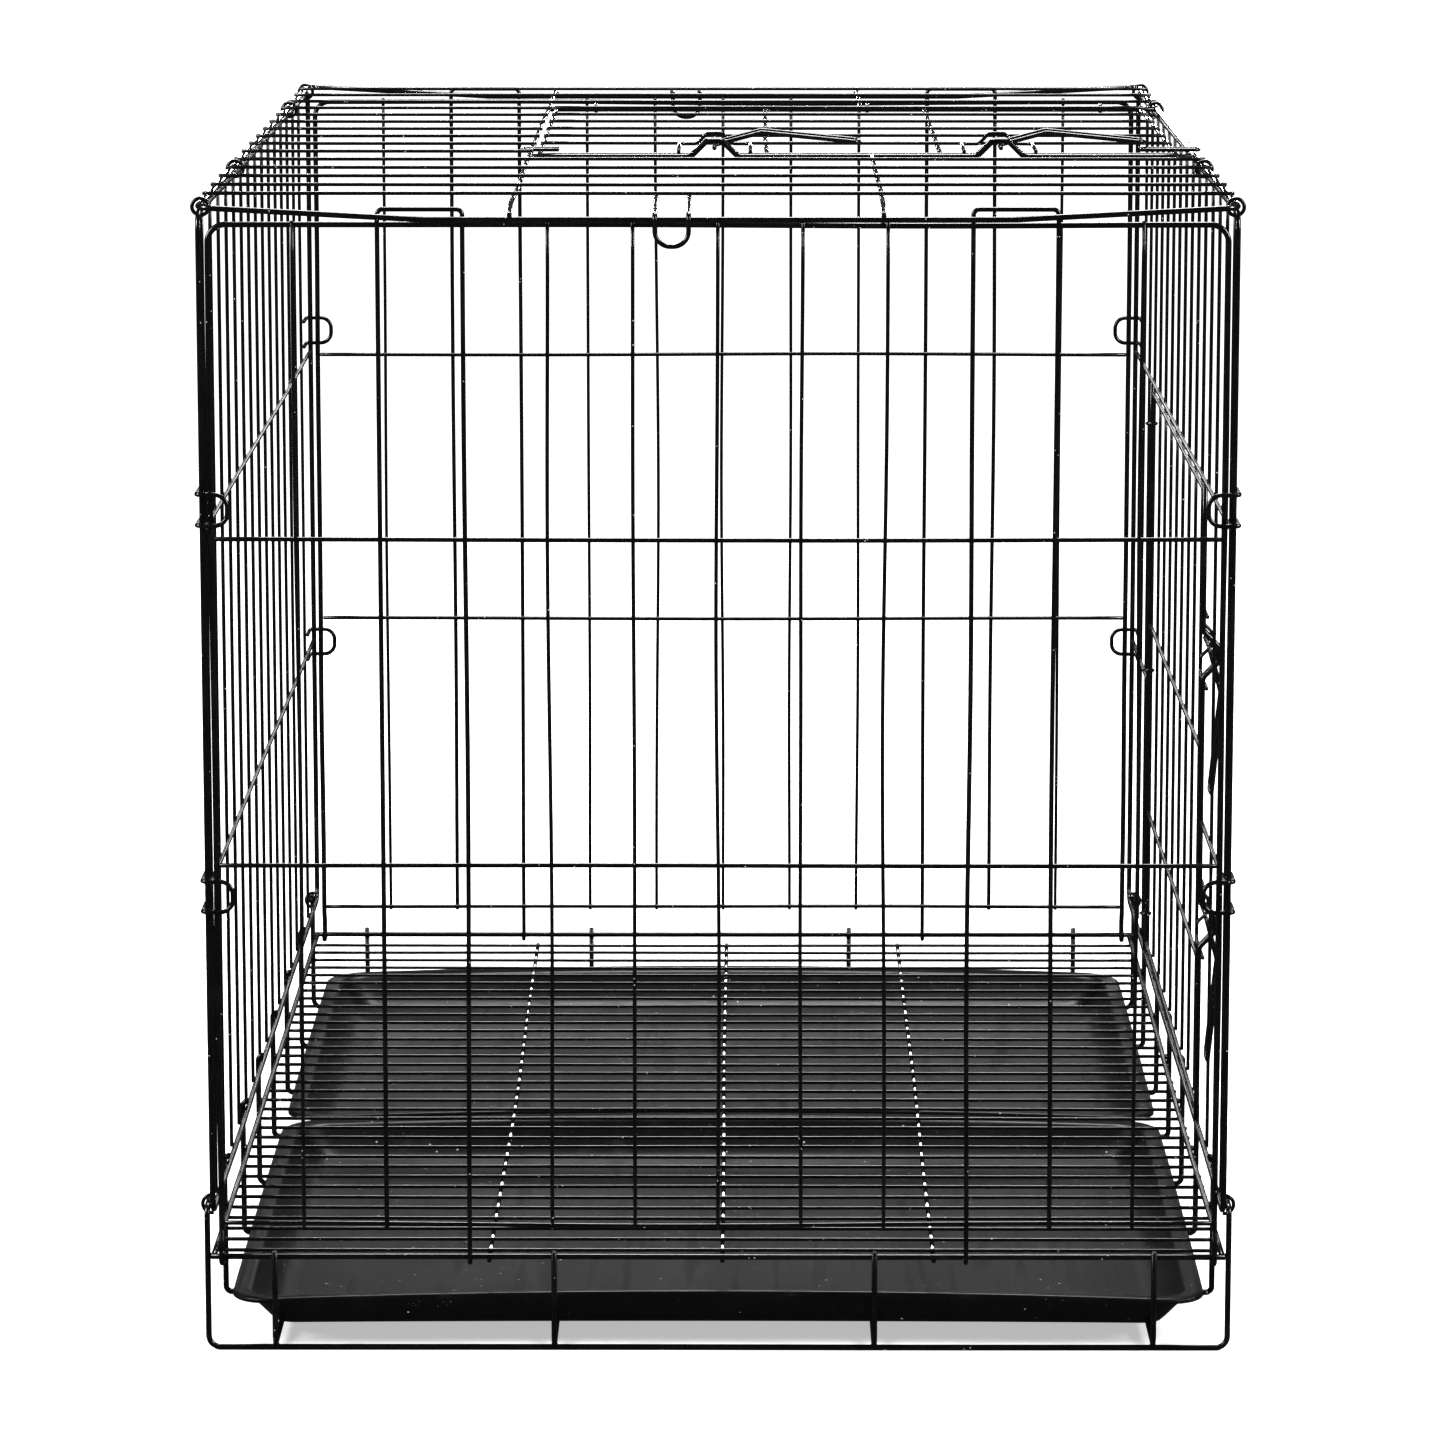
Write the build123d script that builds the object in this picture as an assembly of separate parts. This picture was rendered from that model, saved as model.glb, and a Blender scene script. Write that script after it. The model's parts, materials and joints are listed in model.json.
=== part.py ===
"""Folding wire dog crate: a welded wire box on a raised wire floor, with two fold-down end
panels, a top door, a side door, four slide bolts and two moulded trays under the floor.

Frame: millimetres, +Z up. X runs across the crate, Y along it with the near end at -Y.
The origin is the middle of the footprint, on the ground.

Each wire is kept as its straight runs and its bends, end to end, and wires that are
welded together touch along their sides.
"""

import os
from math import cos, radians, sin, tan

from build123d import *

# Wire sizes
THICK = 4.0  # borders, feet and rails
MEDIUM = 3.2  # stiffening bars, hooks and bolts
THIN = 2.6  # infill
EYE_GAP = 0.3  # play of a hook or eye round the wire that it turns on

# Overall places
END_X = 339.0  # side wires of an end panel
SIDE_X = 345.0  # plane of the two side panels
FOOT_X = SIDE_X + THICK  # feet and rail legs stand just outside the side panels
END_Y = 520.0  # plane of the end panels' borders
FLOOR_Y = END_Y - EYE_GAP  # floor's end wires
FLOOR_Z = 66.0  # floor border, which the end panels hinge on
SIDE_LOW, SIDE_HIGH = 97.0, 780.7  # side panel borders
END_TOP = 773.0  # end panel's top wire
TOP_Z = 785.0  # top panel's long borders
TOP_DIP = 8.0  # how far the top panel's end wires lie below its long borders
DIP_RUN = 150.0  # length of the slope at each end of those wires
CORNER = 12.0  # bend radius of the borders

# Spacings
END_SPACES = 12
SIDE_SPACES = 16
FLOOR_SPACES = 36
END_BARS = (90.0, 339.0, 562.0)
SIDE_BARS = (320.0, 565.0)
TOP_BARS = (-138.0, 110.0)
FLOOR_BARS = (-157.0, 3.0, 148.0)
STRUTS = (-303.0, -112.0, 107.0, 298.0)
RAIL_STEPS = (2.5, 7.5, 13.1)  # rails, in floor spaces either side of the middle

# Doors. Both lie a little outside their panel, so that they close without rubbing.
LIFT = 0.3
TOP_DOOR_Y = (-140.0, 292.0)
TOP_DOOR_X = (-131.0, 331.0)
TOP_LATCHES = (-4.0, 203.0)
SIDE_DOOR_Y = (-266.0, 308.0)
SIDE_DOOR_Z = (105.0, 557.0)
SIDE_LATCHES = (244.0, 441.0)
TOP_DOOR_BARS = (34.0, 160.0)
SIDE_DOOR_BARS = (215.0, 369.0)
TOP_EYES = (-100.0, 115.0, 300.0)
SIDE_EYES = (130.0, 331.0, 532.0)

# Slide bolts, measured from the frame wire that they lock behind
BOLT_Z = 7.0  # height of the bolt over that wire
HUMP_HALF, HUMP_TOP, HUMP_HIGH = 17.0, 5.5, 11.4
HUMP_BEND = 7.0  # radius of the humps' bends
DOOR_EDGE = 8.0
BOLT_TIP, GRIP_NEAR, GRIP_FAR, GUIDE, BOLT_TAIL = -10.0, 18.0, 40.0, 68.0, 74.0
GRIP_LONG, GRIP_CREST, GRIP_RISE = 105.0, 34.0, 9.0
GUIDE_HALF = 26.0

# Side hooks, whose D ends hold the end panels
HOOK_X, HOOK_HALF = 328.0, 10.5
HOOK_HEIGHTS = (318.0, 582.0)

# Top panel's end tabs
TAB_X, TAB_HALF, TAB_LOW = -30.5, 11.2, 759.5

# Trays
TRAY_LOW, TRAY_DEEP, TRAY_WALL = 8.3, 29.0, 2.0
TRAY_HALF = 335.0
TRAY_GAP = 5.0  # from the middle of the crate, and from the struts


def touch(first, second):
    """Distance between the axes of two wires that touch."""
    return (first + second) / 2


def straight(start, end, size):
    """A straight wire with square ends."""
    start, end = Vector(*start), Vector(*end)
    along = Plane(origin=start, z_dir=end - start)
    return Solid.make_cylinder(size / 2, (end - start).length, along)


def bent(points, size, radius):
    """A bent wire, as its straight runs and its bends."""
    corners = [Vector(*point) for point in points]
    pieces = []
    start = corners[0]
    for before, corner, after in zip(corners, corners[1:], corners[2:]):
        arriving = (corner - before).normalized()
        leaving = (after - corner).normalized()
        turn = arriving.get_angle(leaving)
        back = radius * tan(radians(turn / 2))
        begin = corner - arriving * back
        across = leaving - arriving * leaving.dot(arriving)
        centre = begin + across.normalized() * radius
        if (begin - start).length > 0.01:
            pieces.append(straight(start, begin, size))
        bend = Plane(origin=centre, x_dir=begin - centre, z_dir=arriving.cross(leaving))
        pieces.append(Solid.make_torus(radius, size / 2, bend, 0, 360, turn))
        start = corner + leaving * back
    if (corners[-1] - start).length > 0.01:
        pieces.append(straight(start, corners[-1], size))
    return pieces


def ring(points, size, radius):
    """A closed bent wire through the given corners."""
    first, second = Vector(*points[0]), Vector(*points[1])
    middle = (first + second) * 0.5
    return bent([middle, *points[1:], points[0], middle], size, radius)


def eye(centre, axis, size, radius):
    """A closed wire eye or clip."""
    return Solid.make_torus(radius, size / 2, Plane(origin=centre, z_dir=axis))


def open_clip(centre, across, size, radius):
    """A C-shaped clip, open towards the inside of the crate. across is -1 or +1."""
    lean = radians(20)
    start = (-across * sin(lean), 0, cos(lean))
    return Solid.make_torus(
        radius, size / 2, Plane(origin=centre, x_dir=start, z_dir=(0, across, 0)), 0, 360, 210
    )


def save(name, solids):
    """Writes one named sub-part."""
    export_step(Compound(solids), f"parts/{name}.step")


def steps(low, high, count):
    """The places between low and high that divide it into count equal spaces."""
    return [low + (high - low) * k / count for k in range(1, count)]


# ------------------------------------------------------------------ end panels
def end_panel(name, side):
    """One fold-down end panel. side is -1 at the near end and +1 at the far end."""
    bar_y = side * (END_Y + touch(THICK, MEDIUM) - MEDIUM)
    thin_y = side * (END_Y + touch(THICK, THIN))
    loop_y = side * (END_Y + touch(THICK, MEDIUM))

    def hook(x, start, size):
        """The hooked foot of a wire, round the floor's end wire."""
        turn = THICK / 2 + EYE_GAP + size / 2
        outside, inside = side * (FLOOR_Y + turn), side * (FLOOR_Y - turn)
        path = [
            *start,
            (x, outside, FLOOR_Z - turn),
            (x, inside, FLOOR_Z - turn),
            (x, inside, FLOOR_Z + 2),
        ]
        return path, turn

    border = bent(
        [(-END_X, side * END_Y, 400), (-END_X, side * END_Y, END_TOP),
         (END_X, side * END_Y, END_TOP), (END_X, side * END_Y, 400)],
        THICK, CORNER,
    )
    for x in (-END_X, END_X):
        outside = side * (FLOOR_Y + THICK + EYE_GAP)
        jog = [(x, side * END_Y, 400), (x, side * END_Y, 85), (x, outside, 77)]
        path, turn = hook(x, jog, THICK)
        border += bent(path, THICK, turn)

    bars = [
        straight((THICK / 2 - END_X, bar_y, z), (END_X - THICK / 2, bar_y, z), MEDIUM)
        for z in END_BARS
    ]
    columns = [-END_X, *steps(-END_X, END_X, END_SPACES), END_X]
    thin = [
        straight((columns[k], thin_y, END_BARS[0] - 3), (columns[k], thin_y, END_TOP + 3), THIN)
        for k in range(1, END_SPACES)
        if k not in (2, 3, 9, 10)
    ]
    loops = []
    for outer, inner in ((2, 3), (10, 9)):
        loop_top = TOP_Z - 1.5
        start = [
            (columns[outer], loop_y, END_BARS[0] - 3),
            (columns[outer], loop_y, loop_top),
            (columns[inner], loop_y, loop_top),
        ]
        path, turn = hook(columns[inner], start, MEDIUM)
        loops += bent(path, MEDIUM, turn)

    save(f"{name}_border", border)
    save(f"{name}_bars", bars)
    save(f"{name}_wires", thin)
    save(f"{name}_latch_loops", loops)


# ------------------------------------------------------------------- latches
def facing(origin, slide, handle, out):
    """Turns a place on a latch (along its slide, along its handle, outward) into the crate's frame."""
    origin, slide, handle, out = (Vector(*v) for v in (origin, slide, handle, out))
    return lambda s, h, o: origin + slide * s + handle * h + out * o


def humped(place, along, low, high, centres, base):
    """A straight edge wire that arches over each bolt. low and high are its two ends."""
    path = [place(along, low, base)]
    for centre in centres:
        path += [
            place(along, centre - HUMP_HALF, base),
            place(along, centre - HUMP_TOP, HUMP_HIGH),
            place(along, centre + HUMP_TOP, HUMP_HIGH),
            place(along, centre + HUMP_HALF, base),
        ]
    path.append(place(along, high, base))
    return path


def bolt(name, place):
    """One slide bolt, bent from a single wire with a hairpin grip between tip and tail."""
    path = [
        place(BOLT_TIP, 0, BOLT_Z),
        place(GRIP_NEAR, 0, BOLT_Z),
        place(GRIP_NEAR, GRIP_CREST, BOLT_Z + GRIP_RISE),
        place(GRIP_NEAR, GRIP_LONG, BOLT_Z + 2),
        place(GRIP_FAR, GRIP_LONG, BOLT_Z + 2),
        place(GRIP_FAR, GRIP_CREST, BOLT_Z + GRIP_RISE),
        place(GRIP_FAR, 0, BOLT_Z),
        place(BOLT_TAIL, 0, BOLT_Z),
    ]
    save(name, bent(path, MEDIUM, 4.5))


def guides(name, places):
    """The rear guide of each bolt: a low wire bridge whose legs run back to the door's edge."""
    wires = []
    base = LIFT + 0.4 + touch(MEDIUM, THIN)
    for place in places:
        path = [place(DOOR_EDGE - 3, -GUIDE_HALF, base), place(GUIDE, -GUIDE_HALF, base)]
        path += [place(GUIDE, -13, base), place(GUIDE, -HUMP_TOP, HUMP_HIGH)]
        path += [place(GUIDE, HUMP_TOP, HUMP_HIGH), place(GUIDE, 13, base)]
        path += [place(GUIDE, GUIDE_HALF, base), place(DOOR_EDGE - 3, GUIDE_HALF, base)]
        wires += bent(path, THIN, 5)
    save(name, wires)


# ------------------------------------------------------------------ top panel
def top_panel():
    """The top: a border with dipped ends, long bars, cross wires and the door's frame."""
    end_y = END_Y + touch(THICK, MEDIUM) + MEDIUM / 2 + 0.6 + THICK / 2
    bar_z = TOP_Z + 0.4
    wire_z = TOP_Z + touch(THICK, THIN)
    straight_y = end_y - 60

    border = [
        straight((x, -straight_y, TOP_Z), (x, straight_y, TOP_Z), THICK)
        for x in (-SIDE_X, SIDE_X)
    ]
    for side in (-1, 1):
        border += bent(
            [(-SIDE_X, side * straight_y, TOP_Z), (-SIDE_X, side * end_y, TOP_Z),
             (-SIDE_X + DIP_RUN, side * end_y, TOP_Z - TOP_DIP),
             (SIDE_X - DIP_RUN, side * end_y, TOP_Z - TOP_DIP),
             (SIDE_X, side * end_y, TOP_Z), (SIDE_X, side * straight_y, TOP_Z)],
            THICK, CORNER,
        )
    save("top_border", border)

    near, far = TOP_DOOR_Y
    end_z = TOP_Z - TOP_DIP + touch(THICK, MEDIUM)
    sloped = end_y - 30

    def half_bar(x, side, inner_y):
        """A long bar from one end wire to inner_y."""
        return bent(
            [(x, side * (end_y + 3), end_z), (x, side * (end_y - 4), end_z),
             (x, side * sloped, bar_z), (x, inner_y, bar_z)],
            MEDIUM, 4,
        )

    left, right = TOP_BARS
    bars = half_bar(left, -1, 0) + half_bar(left, 1, 0)
    bars += half_bar(right, -1, near - THICK / 2) + half_bar(right, 1, far + THICK / 2)
    save("top_bars", bars)

    wires = []
    for y in steps(-end_y, end_y, SIDE_SPACES):
        stop = left + 3 if near < y < far else SIDE_X + 2
        wires.append(straight((-SIDE_X - 2, y, wire_z), (stop, y, wire_z), THIN))
    save("top_wires", wires)

    inner_left, inner_right = left + MEDIUM / 2, SIDE_X - THICK / 2
    latch = facing((0, near, TOP_Z), (0, 1, 0), (1, 0, 0), (0, 0, 1))
    frame = bent(humped(latch, 0, inner_left, inner_right, TOP_LATCHES, 0), THICK, HUMP_BEND)
    frame.append(straight((inner_left, far, TOP_Z), (inner_right, far, TOP_Z), THICK))
    save("top_door_frame", frame)

    tabs = []
    tab_back = end_y - (2 * end_y) / SIDE_SPACES
    rest_z = wire_z - touch(THIN, MEDIUM)
    for side in (-1, 1):
        front = side * (end_y + touch(THICK, MEDIUM))
        left, right = TAB_X - TAB_HALF, TAB_X + TAB_HALF
        turning = TAB_LOW + TAB_HALF + 2
        for x in (left, right):
            tabs += bent(
                [(x, side * (tab_back - 3), rest_z), (x, side * (tab_back + 12), rest_z),
                 (x, side * (end_y - 4), end_z), (x, front, end_z), (x, front, turning)],
                MEDIUM, touch(THICK, MEDIUM),
            )
        tabs += bent(
            [(left, front, turning), (left, front, TAB_LOW), (right, front, TAB_LOW),
             (right, front, turning)], MEDIUM, TAB_HALF - 1,
        )
    save("top_tabs", tabs)


def top_door():
    """The top door, hinged on the far wire of its frame."""
    (left, right), (near, far) = TOP_DOOR_X, TOP_DOOR_Y
    edge_z = TOP_Z + 0.4 + LIFT
    wire_z = edge_z + touch(MEDIUM, THIN)
    eye_turn = THICK / 2 + EYE_GAP + 0.1 + THIN / 2
    hinge_y = far - eye_turn - touch(THIN, MEDIUM)
    near_y = near + DOOR_EDGE
    latch = facing((0, near, TOP_Z), (0, 1, 0), (1, 0, 0), (0, 0, 1))
    path = [(left, 0, edge_z), (left, near_y, edge_z)]
    path += humped(latch, DOOR_EDGE, left + 20, right - 20, TOP_LATCHES, 0.4 + LIFT)[1:-1]
    path += [(right, near_y, edge_z), (right, hinge_y, edge_z), (left, hinge_y, edge_z)]
    path.append((left, 0, edge_z))
    save("top_door_border", bent(path, MEDIUM, 3))

    end_y = END_Y + touch(THICK, MEDIUM) + MEDIUM / 2 + 0.6 + THICK / 2
    save(
        "top_door_wires",
        [straight((left - 1, y, wire_z), (right + 1, y, wire_z), THIN)
         for y in steps(-end_y, end_y, SIDE_SPACES) if near_y + 20 < y < hinge_y],
    )
    save(
        "top_door_bars",
        [straight((x, near_y + MEDIUM / 2, edge_z), (x, hinge_y - MEDIUM / 2, edge_z), MEDIUM)
         for x in TOP_DOOR_BARS],
    )
    places = [
        facing((x, near, TOP_Z), (0, 1, 0), (1, 0, 0), (0, 0, 1)) for x in TOP_LATCHES
    ]
    guides("top_door_bolt_guides", places)
    save(
        "top_door_hinge_eyes",
        [eye((x, far, TOP_Z), (1, 0, 0), THIN, eye_turn) for x in TOP_EYES],
    )
    stops = []
    for inner, outer in ((left + 14, left - 13), (right - 26, right + 17)):
        stops += bent(
            [(inner, near + 16, wire_z), (outer, near + 16, wire_z),
             (outer, near + 28, wire_z), (inner, near + 28, wire_z)],
            THIN, 4,
        )
    save("top_door_stops", stops)
    for name, place in zip(("left", "right"), places):
        bolt(f"top_bolt_{name}", place)


# ----------------------------------------------------------------- side panels
def side_panel(name, side, has_door):
    """One side panel. side is -1 on the left and +1 on the right."""
    end_y = END_Y + 0.4
    x = side * SIDE_X
    bar_x = side * (SIDE_X + 0.4)
    wire_x = side * (SIDE_X + touch(THICK, THIN))
    inner_y = end_y - THICK / 2
    near, far = SIDE_DOOR_Y
    save(
        f"{name}_border",
        ring([(x, -end_y, SIDE_LOW), (x, end_y, SIDE_LOW),
              (x, end_y, SIDE_HIGH), (x, -end_y, SIDE_HIGH)], THICK, CORNER),
    )
    low_bar, high_bar = SIDE_BARS
    bars = [straight((bar_x, -inner_y, high_bar), (bar_x, inner_y, high_bar), MEDIUM)]
    if has_door:
        bars.append(straight((bar_x, -inner_y, low_bar), (bar_x, near - THICK / 2, low_bar), MEDIUM))
        bars.append(straight((bar_x, far + THICK / 2, low_bar), (bar_x, inner_y, low_bar), MEDIUM))
    else:
        bars.append(straight((bar_x, -inner_y, low_bar), (bar_x, inner_y, low_bar), MEDIUM))
    save(f"{name}_bars", bars)

    wires = []
    for y in steps(-end_y, end_y, SIDE_SPACES):
        cut = has_door and near - 10 < y < far
        low = high_bar - 4 if cut else SIDE_LOW - 3
        wires.append(straight((wire_x, y, low), (wire_x, y, SIDE_HIGH + 3), THIN))
    save(f"{name}_wires", wires)


def side_door():
    """The side door on the right, hinged on the far wire of its frame."""
    (near, far), (low, high) = SIDE_DOOR_Y, SIDE_DOOR_Z
    frame_low, frame_high = SIDE_LOW + THICK / 2, SIDE_BARS[1] - MEDIUM / 2
    latch = facing((SIDE_X, near, 0), (0, 1, 0), (0, 0, -1), (1, 0, 0))
    centres = [-z for z in reversed(SIDE_LATCHES)]
    frame = bent(humped(latch, 0, -frame_high, -frame_low, centres, 0), THICK, HUMP_BEND)
    frame.append(straight((SIDE_X, far, frame_low), (SIDE_X, far, frame_high), THICK))
    save("side_door_frame", frame)

    edge_x = SIDE_X + 0.4 + LIFT
    wire_x = edge_x + touch(MEDIUM, THIN)
    eye_turn = THICK / 2 + EYE_GAP + 0.1 + THIN / 2
    hinge_y = far - eye_turn - touch(THIN, MEDIUM)
    near_y = near + DOOR_EDGE
    middle = (low + high) / 2
    path = [(edge_x, hinge_y, middle), (edge_x, hinge_y, high), (edge_x, near_y, high)]
    path += humped(latch, DOOR_EDGE, -high + 20, -low - 20, centres, 0.4 + LIFT)[1:-1]
    path += [(edge_x, near_y, low), (edge_x, hinge_y, low), (edge_x, hinge_y, middle)]
    save("side_door_border", bent(path, MEDIUM, 3))

    end_y = END_Y + 0.4
    save(
        "side_door_wires",
        [straight((wire_x, y, low - 1), (wire_x, y, high + 1), THIN)
         for y in steps(-end_y, end_y, SIDE_SPACES) if near_y + 20 < y < hinge_y],
    )
    save(
        "side_door_bars",
        [straight((edge_x, near_y + MEDIUM / 2, z), (edge_x, hinge_y - MEDIUM / 2, z), MEDIUM)
         for z in SIDE_DOOR_BARS],
    )
    places = [
        facing((SIDE_X, near, z), (0, 1, 0), (0, 0, -1), (1, 0, 0)) for z in SIDE_LATCHES
    ]
    guides("side_door_bolt_guides", places)
    save(
        "side_door_hinge_eyes",
        [eye((SIDE_X, far, z), (0, 0, 1), THIN, eye_turn) for z in SIDE_EYES],
    )
    for name, place in zip(("lower", "upper"), places):
        bolt(f"side_bolt_{name}", place)


def hooks_and_clips():
    """The side hooks that hold the end panels, and the clips that join side, top and floor."""
    hook_y = END_Y + 0.4 + touch(THICK, MEDIUM)
    out_x = SIDE_X + touch(THICK, MEDIUM)
    for name, side in (("near", -1), ("far", 1)):
        hooks = []
        for across in (-1, 1):
            for z in HOOK_HEIGHTS:
                back = side * (hook_y - 30)
                front = side * hook_y
                turn = touch(THICK, MEDIUM)
                for half in (-HOOK_HALF, HOOK_HALF):
                    hooks += bent(
                        [(across * out_x, back, z + half), (across * out_x, front, z + half),
                         (across * (out_x - turn), front, z + half)], MEDIUM, turn,
                    )
                hooks += bent(
                    [(across * (out_x - turn), front, z - HOOK_HALF),
                     (across * HOOK_X, front, z - HOOK_HALF), (across * HOOK_X, front, z + HOOK_HALF),
                     (across * (out_x - turn), front, z + HOOK_HALF)], MEDIUM, HOOK_HALF - 2,
                )
        save(f"{name}_side_hooks", hooks)
    for name, across in (("left", -1), ("right", 1)):
        clips = [
            eye((across * SIDE_X, y, (TOP_Z + SIDE_HIGH) / 2), (0, 1, 0), THIN, 5.6)
            for y in (-500.0, -215.0, 312.0, 500.0)
        ]
        save(f"{name}_top_clips", clips)
        clips = [
            open_clip((across * (SIDE_X + 2), y, SIDE_LOW + 2), across, THIN, 6.3)
            for y in (-504.0, 504.0)
        ]
        save(f"{name}_foot_clips", clips)


# ------------------------------------------------------------------------ base
def base():
    """The raised wire floor, its two foot frames, the rails under the trays and their legs."""
    border = []
    for side in (-1, 1):
        y = side * FLOOR_Y
        inner = FOOT_X - THICK / 2
        border.append(straight((-inner, y, FLOOR_Z), (inner, y, FLOOR_Z), THICK))
    for x in (-SIDE_X, SIDE_X):
        y = FLOOR_Y - THICK / 2
        border.append(straight((x, -y, FLOOR_Z), (x, y, FLOOR_Z), THICK))
    save("floor_border", border)

    wire_z = FLOOR_Z - touch(THICK, THIN)
    save(
        "floor_wires",
        [straight((-SIDE_X - 2.5, y, wire_z), (SIDE_X + 2.5, y, wire_z), THIN)
         for y in steps(-FLOOR_Y, FLOOR_Y, FLOOR_SPACES)],
    )
    bar_z = wire_z - touch(THIN, MEDIUM)
    last = FLOOR_Y - 12
    save(
        "floor_bars",
        [straight((x, -last, bar_z), (x, last, bar_z), MEDIUM) for x in FLOOR_BARS],
    )

    feet = []
    foot_z = THICK / 2
    foot_top = SIDE_LOW + 4
    for side in (-1, 1):
        y, back = side * FLOOR_Y, side * (FLOOR_Y - 28)
        feet += bent(
            [(-FOOT_X, back, foot_top), (-FOOT_X, y, foot_top), (-FOOT_X, y, foot_z),
             (FOOT_X, y, foot_z), (FOOT_X, y, foot_top), (FOOT_X, back, foot_top)],
            THICK, 8,
        )
    save("foot_frames", feet)

    rail_z = foot_z + THICK
    strut_y = FLOOR_Y + THICK
    long_rails = []
    for x in STRUTS:
        long_rails += bent(
            [(x, -strut_y, FLOOR_Z + 5), (x, -strut_y, rail_z),
             (x, strut_y, rail_z), (x, strut_y, FLOOR_Z + 5)], THICK, 5,
        )
    save("long_rails", long_rails)

    cross_rails = []
    pitch = 2 * FLOOR_Y / FLOOR_SPACES
    cross_z = rail_z - THICK
    for step in RAIL_STEPS:
        for side in (-1, 1):
            y = side * step * pitch
            hook_top = SIDE_LOW + THICK
            cross_rails += bent(
                [(-SIDE_X, y, hook_top), (-FOOT_X, y, hook_top), (-FOOT_X, y, cross_z),
                 (FOOT_X, y, cross_z), (FOOT_X, y, hook_top), (SIDE_X, y, hook_top)],
                THICK, THICK,
            )
    save("cross_rails", cross_rails)


def tray(name, side):
    """One moulded tray: flat floor, sloping walls and a flared rim with a turned-down lip."""
    far_edge = FLOOR_Y - TRAY_GAP
    length = far_edge - TRAY_GAP
    middle = Pos(0, side * (far_edge + TRAY_GAP) / 2, TRAY_LOW)
    flange, slope, lip = 10.0, 20.0, 4.0

    def outline(inset, height, corner):
        return Pos(0, 0, height) * RectangleRounded(
            2 * (TRAY_HALF - inset), length - 2 * inset, corner
        )

    outer = loft([outline(flange + slope, 0, 20), outline(flange, TRAY_DEEP, 24)])
    inner = loft(
        [outline(flange + slope + TRAY_WALL, TRAY_WALL, 18),
         outline(flange + TRAY_WALL, TRAY_DEEP, 22)]
    )
    rim = extrude(outline(0, TRAY_DEEP - TRAY_WALL, 30), TRAY_WALL)
    edge = extrude(outline(0, TRAY_DEEP - lip, 30) - outline(TRAY_WALL, TRAY_DEEP - lip, 28), lip)
    export_step(middle * (outer + rim + edge - inner), f"parts/{name}.step")


os.makedirs("parts", exist_ok=True)
end_panel("near_end", -1)
end_panel("far_end", 1)
top_panel()
top_door()
side_panel("left_side", -1, has_door=False)
side_panel("right_side", 1, has_door=True)
side_door()
hooks_and_clips()
base()
tray("near_tray", -1)
tray("far_tray", 1)
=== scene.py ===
"""Folding wire dog crate: coated wires with their slight bows and weld beads, moulded trays,
and a pale studio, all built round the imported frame."""

import json
import math

import bmesh
import bpy
import numpy as np
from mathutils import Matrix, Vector

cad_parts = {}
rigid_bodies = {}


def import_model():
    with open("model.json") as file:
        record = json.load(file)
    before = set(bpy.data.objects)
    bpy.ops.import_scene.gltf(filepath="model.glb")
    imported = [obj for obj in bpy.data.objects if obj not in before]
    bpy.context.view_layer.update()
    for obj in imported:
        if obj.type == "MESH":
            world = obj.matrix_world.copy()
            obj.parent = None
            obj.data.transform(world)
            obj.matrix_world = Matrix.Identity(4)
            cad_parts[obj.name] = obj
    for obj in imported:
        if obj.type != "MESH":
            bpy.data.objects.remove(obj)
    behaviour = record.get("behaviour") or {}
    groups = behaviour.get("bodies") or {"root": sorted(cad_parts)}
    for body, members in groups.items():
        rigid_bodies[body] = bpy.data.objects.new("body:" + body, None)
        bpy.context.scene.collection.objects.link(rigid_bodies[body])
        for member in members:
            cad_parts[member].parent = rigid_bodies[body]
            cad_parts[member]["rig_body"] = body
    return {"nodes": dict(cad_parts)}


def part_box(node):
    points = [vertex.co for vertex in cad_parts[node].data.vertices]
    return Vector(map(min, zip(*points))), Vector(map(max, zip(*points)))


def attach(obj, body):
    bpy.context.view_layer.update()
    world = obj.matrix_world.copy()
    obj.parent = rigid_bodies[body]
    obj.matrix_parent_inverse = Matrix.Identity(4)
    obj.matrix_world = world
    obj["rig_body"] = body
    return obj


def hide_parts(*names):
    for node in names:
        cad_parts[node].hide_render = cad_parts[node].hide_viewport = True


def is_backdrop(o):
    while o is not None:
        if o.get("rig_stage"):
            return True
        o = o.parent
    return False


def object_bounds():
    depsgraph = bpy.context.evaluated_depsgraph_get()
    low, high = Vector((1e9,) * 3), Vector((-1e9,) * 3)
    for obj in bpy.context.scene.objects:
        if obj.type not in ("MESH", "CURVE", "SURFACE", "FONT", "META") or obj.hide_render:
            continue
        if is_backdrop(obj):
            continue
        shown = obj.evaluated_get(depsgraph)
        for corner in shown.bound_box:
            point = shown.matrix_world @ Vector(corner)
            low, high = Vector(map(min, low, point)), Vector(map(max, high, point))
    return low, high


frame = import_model()
CAD_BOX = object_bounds()

bl_info = {
    "name": "Folding wire dog crate",
    "version": (1, 0, 0),
    "blender": (4, 5, 0),
    "location": "3D View > Sidebar > Dog Crate",
    "description": "Builds a folding wire dog crate with two trays",
    "category": "Object",
}

MM = 0.001
X_AXIS, Y_AXIS, Z_AXIS = Vector((1, 0, 0)), Vector((0, 1, 0)), Vector((0, 0, 1))

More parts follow.
